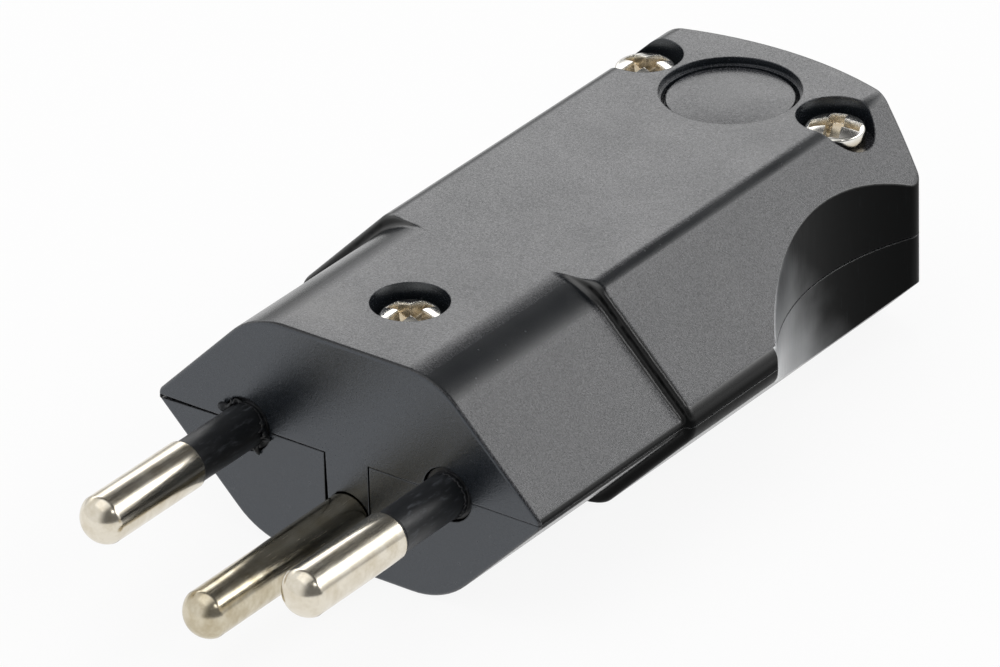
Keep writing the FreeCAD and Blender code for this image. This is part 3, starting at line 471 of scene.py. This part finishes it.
# Flash: thin frayed films of sleeve plastic, where the sleeves leave the shells and, on the right, where
# the sleeve meets the metal. They were squeezed out in moulding and have curled and torn in use.
FILM = 0.04 * MM
RING_STEPS = 260
PROFILE_STEPS = 14
SLEEVE_REACH = 7.6 * MM
SLEEVE_RADIUS = 1.8 * MM
BURR_SETBACK = 0.4 * MM
OUT_RIPPLES = ((17, 1, 0.30), (31, 2, 0.22))
FORWARD_RIPPLES = ((23, 3, 0.25), (41, 1, 0.20))
CURL = 0.4
CURL_WAVES = 9
FLASH = {
    "left_sleeve_flash": ("left_pin_sleeve", 0.0, 1.3, (
        (150, 15, 0.55, 0.55), (118, 13, 0.45, 0.30), (6, 24, 0.14, 0.60), (-14, 11, 0.50, 0.14),
        (-62, 8, 0.50, 0.35))),
    "right_sleeve_flash": ("right_pin_sleeve", 0.0, 2.9, (
        (50, 55, 0.05, 0.16), (-30, 26, 0.10, 0.45), (-75, 14, 0.12, 0.20))),
    "right_sleeve_burr": ("right_pin_sleeve", -SLEEVE_REACH + BURR_SETBACK, 4.1, (
        (-78, 15, 0.24, 0.35), (-112, 11, 0.18, 0.25), (-38, 12, 0.12, 0.30)))}


def rippled(turn, phase, ripples):
    """One plus sine waves round the ring, each with its number of waves, shift in phases and height."""
    share = 1.0
    for waves, shift, height in ripples:
        share = share + height * np.sin(waves * turn + shift * phase)
    return share


def frayed_ring(middle, radius, phase, lumps):
    """Film round a sleeve: an oval profile carried round a circle, swelling at each lump and rippled.

    A lump is its angle from the right in degrees, its spread, and how far it stands out and forwards in mm.
    """
    turn = np.linspace(0.0, 2 * math.pi, RING_STEPS, endpoint=False)[:, None]
    oval = np.linspace(0.0, 2 * math.pi, PROFILE_STEPS, endpoint=False)[None, :]
    out = np.full_like(turn, FILM)
    forward = np.full_like(turn, 2 * FILM)
    for angle, spread, wide, deep in lumps:
        apart = (turn - math.radians(angle) + math.pi) % (2 * math.pi) - math.pi
        swell = np.exp(-(apart / math.radians(spread)) ** 2)
        out = out + wide * MM * swell
        forward = forward + deep * MM * swell
    out = out * rippled(turn, phase, OUT_RIPPLES)
    forward = forward * rippled(turn, phase, FORWARD_RIPPLES)
    away = radius + 0.5 * out * (1 + np.cos(oval)) - 0.5 * FILM
    curl = CURL * np.cos(oval) * np.sin(CURL_WAVES * turn + phase)
    ahead = 0.5 * forward * (1 + np.sin(oval) + curl)
    return np.stack((middle[0] + away * np.cos(turn), middle[1] - ahead,
                     middle[2] + away * np.sin(turn)), -1)


def tube_mesh(name, grid):
    """Mesh of a grid that closes on itself both ways: quads between neighbours, shaded smooth."""
    index = np.arange(grid.shape[0] * grid.shape[1]).reshape(grid.shape[:2])
    across = np.roll(index, -1, axis=1)
    quads = np.stack((index, across, np.roll(across, -1, axis=0), np.roll(index, -1, axis=0)), -1)
    mesh = bpy.data.meshes.new(name)
    mesh.from_pydata(grid.reshape(-1, 3).tolist(), [], quads.reshape(-1, 4).tolist())
    mesh.polygons.foreach_set("use_smooth", np.ones(len(mesh.polygons), bool))
    return mesh


for name, (node, place, phase, lumps) in FLASH.items():
    low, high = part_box(node)
    middle = ((low.x + high.x) / 2, FACE_Y + place, (low.z + high.z) / 2)
    ring = frayed_ring(middle, SLEEVE_RADIUS, phase, lumps)
    show_piece(name, tube_mesh(name, ring), sleeve_plastic, "sleeve")


# Housing screws: nickel-plated steel screws with raised round heads and a deep cross recess.
# They go down through the upper shell into threaded inserts in the lower one.
HEAD_HEIGHT = 1.9 * MM
HEAD_EDGE = 1.4 * MM
HEAD_CORNER = 0.25 * MM
HEAD_CLOUD = 0.5 * MM
HEAD_DENT = 0.02 * MM
SHANK_RADIUS = 1.5 * MM
CROSS_REACH = 1.95 * MM
CROSS_HALF = 0.58 * MM
CROSS_DEPTH = 1.45 * MM
CROSS_RISE = 0.60 * MM
CROSS_WALL = 0.14 * MM
STAIN_FULL = 1.1 * MM
STAIN_START = 0.65 * MM
HEAD_RINGS = 72
HEAD_STEPS = 240
CORNER_STEPS = 6
HEAD_SMOOTH = math.radians(40)
SCREW_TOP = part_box("front_housing_screw")[1].z
CROSS_TURNS = {"front": -8.0, "left": -14.0, "right": 24.0}


def screw_surface(low, high, cross_turn):
    """Screw as a profile turned about its axis, with the cross sunk into the rings of the crown.

    The crown is a parabola from the middle to the edge. The cross is two crossed bars: a point's distance
    inside the nearer bar, over the width of the wall, gives how far it sinks, and the floor rises outwards.
    """
    middle = (np.array(low) + np.array(high)) / 2
    radius = (high[0] - low[0]) / 2
    crown_r = np.linspace(0.0, radius - HEAD_CORNER, HEAD_RINGS)
    crown_z = HEAD_EDGE + (HEAD_HEIGHT - HEAD_EDGE) * (1 - (crown_r / radius) ** 2)
    bend = np.linspace(0.0, math.pi / 2, CORNER_STEPS + 1)[1:]
    corner_r = radius - HEAD_CORNER * (1 - np.sin(bend))
    corner_z = crown_z[-1] - HEAD_CORNER * (1 - np.cos(bend))
    stem = low[2] - (high[2] - HEAD_HEIGHT)
    side_r = np.array((radius, SHANK_RADIUS, SHANK_RADIUS, 0.0))
    side_z = np.array((0.0, 0.0, stem, stem))
    ring_r = np.concatenate((crown_r, corner_r, side_r))[:, None]
    ring_z = np.concatenate((crown_z, corner_z, side_z))[:, None]
    angle = np.linspace(0.0, 2 * math.pi, HEAD_STEPS, endpoint=False)[None, :]
    bar = angle - math.radians(cross_turn)
    across = np.abs(ring_r * np.cos(bar))
    along = np.abs(ring_r * np.sin(bar))
    inside_one = np.minimum(CROSS_REACH - across, CROSS_HALF - along)
    inside_two = np.minimum(CROSS_REACH - along, CROSS_HALF - across)
    sunk = np.clip(np.maximum(inside_one, inside_two) / CROSS_WALL + 0.5, 0.0, 1.0)
    sunk = sunk * sunk * (3 - 2 * sunk)
    floor = CROSS_DEPTH - CROSS_RISE * (ring_r / CROSS_REACH) ** 2
    on_crown = (np.arange(len(ring_r)) < HEAD_RINGS)[:, None]
    height = ring_z - np.where(on_crown, sunk * floor, 0.0)
    base = high[2] - HEAD_HEIGHT
    return np.stack((middle[0] + ring_r * np.cos(angle), middle[1] + ring_r * np.sin(angle),
                     base + height), -1)


def turned_mesh(name, grid):
    """Mesh of a grid of rings that starts and ends in a pole: quads between the rings, doubles merged."""
    rings, steps = grid.shape[:2]
    index = np.arange(rings * steps).reshape(rings, steps)
    ahead = np.roll(index, -1, axis=1)
    quads = np.stack((index[:-1], index[1:], ahead[1:], ahead[:-1]), -1).reshape(-1, 4)
    mesh = bpy.data.meshes.new(name)
    mesh.from_pydata(grid.reshape(-1, 3), [], quads.tolist())
    work = bmesh.new()
    work.from_mesh(mesh)
    bmesh.ops.remove_doubles(work, verts=work.verts, dist=SAME_POINT)
    bmesh.ops.recalc_face_normals(work, faces=work.faces)
    work.to_mesh(mesh)
    work.free()
    mesh.polygons.foreach_set("use_smooth", np.ones(len(mesh.polygons), bool))
    mesh.set_sharp_from_angle(angle=HEAD_SMOOTH)
    return mesh


# Nickel plate on cold-headed steel: a warm mirror that has yellowed in the recess.
screw_nickel, tree = start_material("nickel_plated_steel_screw")
coords = add(tree, "ShaderNodeTexCoord").outputs["Object"]
clouds = add(tree, "ShaderNodeTexNoise", {
    "Vector": coords, "Scale": 1 / HEAD_CLOUD, "Detail": 4.0, "Roughness": 0.6}).outputs["Fac"]
crown = add(tree, "ShaderNodeMix", {
    0: clouds, 6: linear("#f0eeea"), 7: linear("#dcd8ce")}, data_type="RGBA").outputs[2]
height = add(tree, "ShaderNodeSeparateXYZ", {0: coords}).outputs["Z"]
deep = add(tree, "ShaderNodeMapRange", {
    "Value": height, "From Min": SCREW_TOP - STAIN_FULL, "From Max": SCREW_TOP - STAIN_START,
    "To Min": 1.0, "To Max": 0.0}).outputs["Result"]
colour = add(tree, "ShaderNodeMix", {
    0: deep, 6: crown, 7: linear("#d2c8b6")}, data_type="RGBA").outputs[2]
roughness = add(tree, "ShaderNodeMapRange", {
    "Value": clouds, "From Min": 0.3, "From Max": 0.7, "To Min": 0.12, "To Max": 0.24}).outputs["Result"]
bumped = add(tree, "ShaderNodeBump", {
    "Strength": 0.15, "Distance": HEAD_DENT, "Height": clouds}).outputs["Normal"]
shader = add(tree, "ShaderNodeBsdfPrincipled", {
    "Base Color": colour, "Metallic": 1.0, "Roughness": roughness, "Normal": bumped})
add(tree, "ShaderNodeOutputMaterial", {"Surface": shader.outputs["BSDF"]})
for place, cross_turn in CROSS_TURNS.items():
    node = f"{place}_housing_screw"
    low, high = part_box(node)
    grid = screw_surface(low, high, cross_turn)
    show_piece(f"{node}_finished", turned_mesh(node, grid), screw_nickel, "screw_metal", node)


# Inner fittings: the terminal screws, the clamp screws, the threaded inserts and the cable clamp.
# They are plain from the machine and hidden while the shells are closed, so one finish serves them all:
# zinc plate on steel, a pale satin grey that is unevenly clouded.
FITTINGS = ("left_terminal_screw", "right_terminal_screw", "earth_terminal_screw", "left_clamp_screw",
            "right_clamp_screw", "front_insert", "left_insert", "right_insert", "cable_clamp")
FITTING_CLOUD = 0.8 * MM
fitting_metal, tree = start_material("zinc_plated_steel_fitting")
coords = add(tree, "ShaderNodeTexCoord").outputs["Object"]
clouds = add(tree, "ShaderNodeTexNoise", {
    "Vector": coords, "Scale": 1 / FITTING_CLOUD, "Detail": 4.0}).outputs["Fac"]
colour = add(tree, "ShaderNodeMix", {
    0: clouds, 6: linear("#c9ccd0"), 7: linear("#a8a89c")}, data_type="RGBA").outputs[2]
roughness = add(tree, "ShaderNodeMapRange", {
    "Value": clouds, "To Min": 0.25, "To Max": 0.45}).outputs["Result"]
shader = add(tree, "ShaderNodeBsdfPrincipled", {
    "Base Color": colour, "Metallic": 1.0, "Roughness": roughness})
add(tree, "ShaderNodeOutputMaterial", {"Surface": shader.outputs["BSDF"]})
for node in FITTINGS:
    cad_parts[node].data.materials.clear()
    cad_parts[node].data.materials.append(fitting_metal)


# Floor: a plain white sheet of matt paper under the plug, which keeps a soft shadow.
# The camera and reflections see most of it as plain white, and the rest by the light that falls on it.
FLOOR_HALF = 1.6
FLOOR_DROP = 0.02 * MM
WHITE_SHARE = 0.90
floor_mesh = bpy.data.meshes.new("floor")
floor_mesh.from_pydata([(-FLOOR_HALF, -FLOOR_HALF, 0.0), (FLOOR_HALF, -FLOOR_HALF, 0.0),
                        (FLOOR_HALF, FLOOR_HALF, 0.0), (-FLOOR_HALF, FLOOR_HALF, 0.0)], [], [(0, 1, 2, 3)])
floor = bpy.data.objects.new("floor", floor_mesh)
floor.location.z = -FLOOR_DROP
bpy.context.scene.collection.objects.link(floor)
paper, tree = start_material("white_paper_floor")
path = add(tree, "ShaderNodeLightPath").outputs
seen = add(tree, "ShaderNodeMath", {
    0: path["Is Camera Ray"], 1: path["Is Glossy Ray"]}, operation="MAXIMUM").outputs[0]
seen = add(tree, "ShaderNodeMath", {
    0: seen, 1: path["Is Transmission Ray"]}, operation="MAXIMUM").outputs[0]
share = add(tree, "ShaderNodeMath", {0: seen, 1: WHITE_SHARE}, operation="MULTIPLY").outputs[0]
matt = add(tree, "ShaderNodeBsdfDiffuse", {"Color": linear("#f4f4f4")}).outputs[0]
white = add(tree, "ShaderNodeEmission", {"Strength": 1.0}).outputs[0]
sheet = add(tree, "ShaderNodeMixShader", {0: share, 1: matt, 2: white}).outputs[0]
add(tree, "ShaderNodeOutputMaterial", {"Surface": sheet})
floor_mesh.materials.append(paper)


# Studio: a backdrop whose lit band lies about 30 degrees up behind the plug, lower and dimmer on the left,
# and fades upwards and downwards, and a room before it that is pale on the left and dark on the right.
# A large soft lamp hangs overhead and a small one stands at the right.
BAND_LEVELS = (3.45, 5.45)
BAND_TURN = (-0.5, 0.5)
BAND_TILT = 0.06
BAND_SHARES = ((0.0, 0.09), (0.14, 0.13), (0.26, 0.21), (0.375, 0.45), (0.47, 0.80), (0.525, 1.0),
               (0.575, 0.64), (0.625, 0.20), (0.67, 0.05), (0.725, 0.015), (0.82, 0.02), (1.0, 0.10))
ROOM_LEVELS = (0.90, 0.18)
ROOM_TURN = (-0.10, 0.50)
LAMPS = {"overhead_lamp": (Vector((-0.10, -0.25, 1.20)), 1.2, 2.0),
         "right_lamp": (Vector((0.80, -0.27, 0.86)), 0.22, 0.45)}
world = bpy.data.worlds.new("studio")
world.use_nodes = True
tree = world.node_tree
tree.nodes.clear()
outwards = add(tree, "ShaderNodeTexCoord").outputs["Generated"]
direction = add(tree, "ShaderNodeSeparateXYZ", {0: outwards}).outputs
height = add(tree, "ShaderNodeMath", {
    0: direction["X"], 1: -BAND_TILT, 2: direction["Z"]}, operation="MULTIPLY_ADD").outputs[0]
band = add(tree, "ShaderNodeValToRGB", {"Fac": height})
stops = band.color_ramp.elements
while len(stops) < len(BAND_SHARES):
    stops.new(1.0)
for stop, (position, share) in zip(stops, BAND_SHARES):
    stop.position = position
    stop.color = (share, share, share, 1.0)
across = add(tree, "ShaderNodeMapRange", {
    "Value": direction["X"], "From Min": BAND_TURN[0], "From Max": BAND_TURN[1],
    "To Min": BAND_LEVELS[0], "To Max": BAND_LEVELS[1]}).outputs["Result"]
backdrop = add(tree, "ShaderNodeMath", {
    0: band.outputs["Color"], 1: across}, operation="MULTIPLY").outputs[0]
room = add(tree, "ShaderNodeMapRange", {
    "Value": direction["X"], "From Min": ROOM_TURN[0], "From Max": ROOM_TURN[1],
    "To Min": ROOM_LEVELS[0], "To Max": ROOM_LEVELS[1]}, interpolation_type="SMOOTHSTEP").outputs["Result"]
behind = add(tree, "ShaderNodeMapRange", {
    "Value": direction["Y"], "From Min": ROOM_TURN[0], "From Max": ROOM_TURN[1]},
    interpolation_type="SMOOTHSTEP").outputs["Result"]
lit = add(tree, "ShaderNodeMix", {0: behind, 2: room, 3: backdrop}, data_type="FLOAT").outputs[0]
path = add(tree, "ShaderNodeLightPath").outputs
seen = add(tree, "ShaderNodeMath", {
    0: path["Is Camera Ray"], 1: path["Is Transmission Ray"]}, operation="MAXIMUM").outputs[0]
level = add(tree, "ShaderNodeMix", {0: seen, 2: lit, 3: 1.0}, data_type="FLOAT").outputs[0]
glow = add(tree, "ShaderNodeBackground", {"Color": linear("#ffffff"), "Strength": level}).outputs[0]
add(tree, "ShaderNodeOutputWorld", {"Surface": glow})
bpy.context.scene.world = world
for name, (place, side, power) in LAMPS.items():
    lamp = bpy.data.lights.new(name, "AREA")
    lamp.shape = "SQUARE"
    lamp.size = side
    lamp.energy = power
    lamp_object = bpy.data.objects.new(name, lamp)
    lamp_object.location = place
    lamp_object.rotation_euler = place.to_track_quat("Z", "Y").to_euler()
    bpy.context.scene.collection.objects.link(lamp_object)


# Camera: at the photograph's place, a long lens from the right front and above.
# Its angles, distance and lens come from fitting the three pins to the photograph.
AZIMUTH = math.radians(37.305)
ELEVATION = math.radians(28.913)
ROLL = math.radians(-1.501)
DISTANCE = 733.35 * MM
TARGET = Vector((-2.122, 2.615, 9.66)) * MM
LENS = 342.9
SENSOR_WIDTH = 36.0
NEAREST = 0.01
back = Vector((math.sin(AZIMUTH) * math.cos(ELEVATION), -math.cos(AZIMUTH) * math.cos(ELEVATION),
               math.sin(ELEVATION)))
level_right = Vector((math.cos(AZIMUTH), math.sin(AZIMUTH), 0.0))
level_up = back.cross(level_right)
right = math.cos(ROLL) * level_right + math.sin(ROLL) * level_up
up = math.cos(ROLL) * level_up - math.sin(ROLL) * level_right
camera = bpy.data.cameras.new("camera")
camera.lens = LENS
camera.sensor_width = SENSOR_WIDTH
camera.sensor_fit = "HORIZONTAL"
camera.clip_start = NEAREST
camera_object = bpy.data.objects.new("camera", camera)
camera_object.matrix_world = Matrix.Translation(TARGET + DISTANCE * back) @ Matrix((
    (right.x, up.x, back.x, 0.0), (right.y, up.y, back.y, 0.0), (right.z, up.z, back.z, 0.0),
    (0.0, 0.0, 0.0, 1.0)))
bpy.context.scene.collection.objects.link(camera_object)
bpy.context.scene.camera = camera_object
bpy.context.scene.view_settings.view_transform = "Standard"
